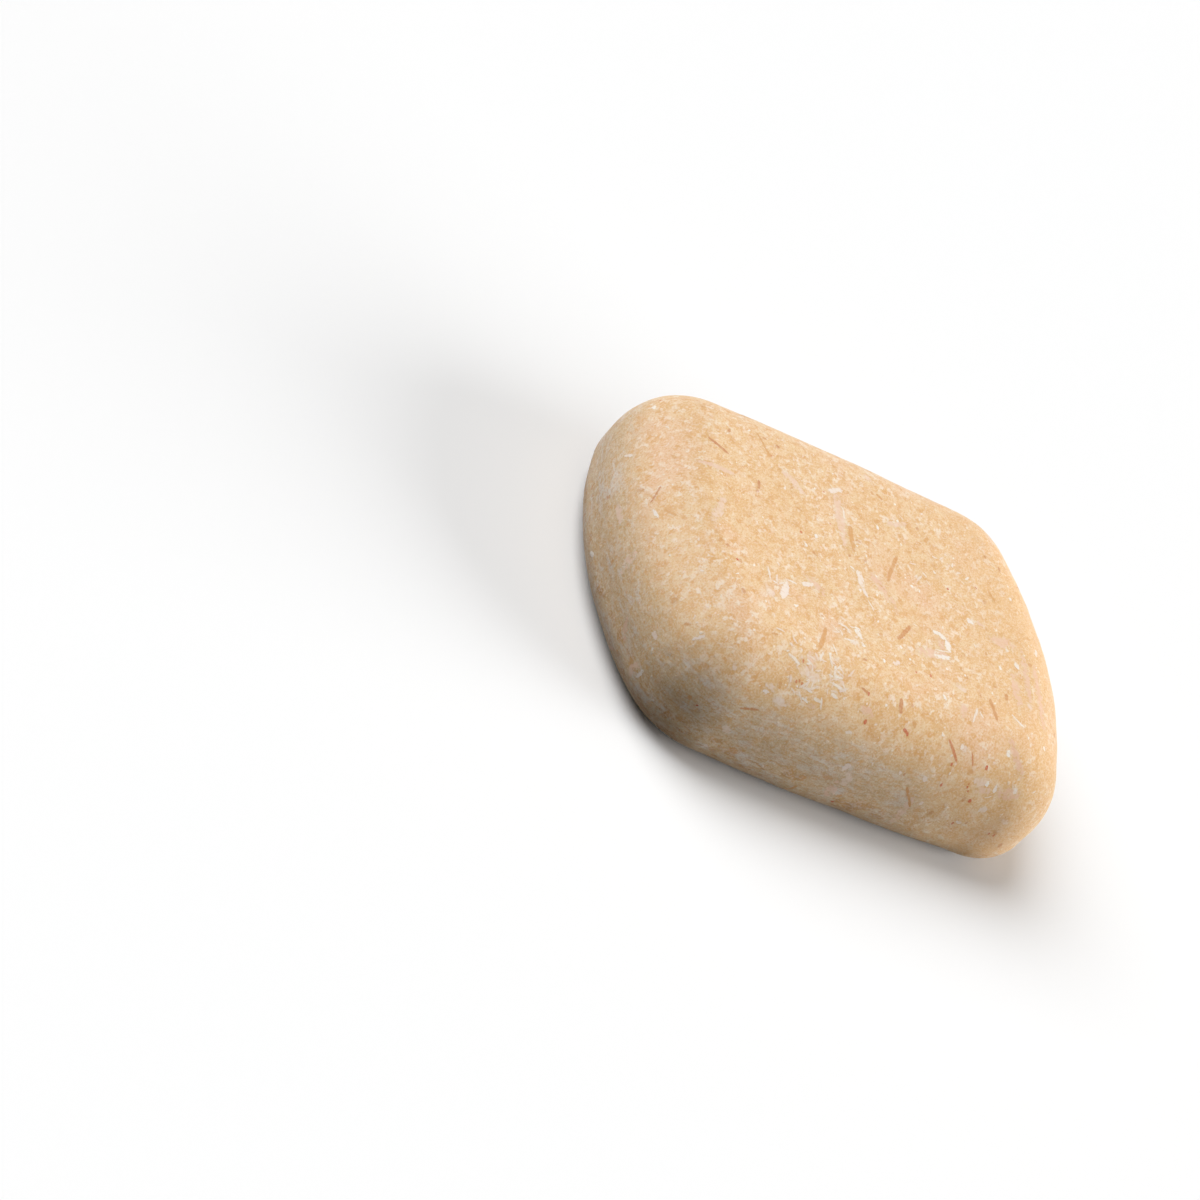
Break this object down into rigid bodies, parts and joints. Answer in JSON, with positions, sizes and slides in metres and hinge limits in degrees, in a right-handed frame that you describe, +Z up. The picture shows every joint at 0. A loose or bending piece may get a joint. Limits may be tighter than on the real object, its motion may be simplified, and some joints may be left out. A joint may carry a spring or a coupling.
{
  "type": "shampoo bar",
  "caption": "Solid pillow-shaped shampoo bar with bowed sides, wide rounded top edges and a flat underside to rest on.",
  "frame": {"origin": "centre of the flat underside, on the surface that the bar rests on", "axes": "+X along the bar's length, +Y across its width, +Z up out of the top"},
  "size_m": [0.086, 0.068, 0.022],
  "materials": {
    "soap": "satin cream-tan pressed soap with fine fibres and flecks"
  },
  "bodies": {
    "root": {"shampoo_bar": "soap"}
  },
  "joints": []
}
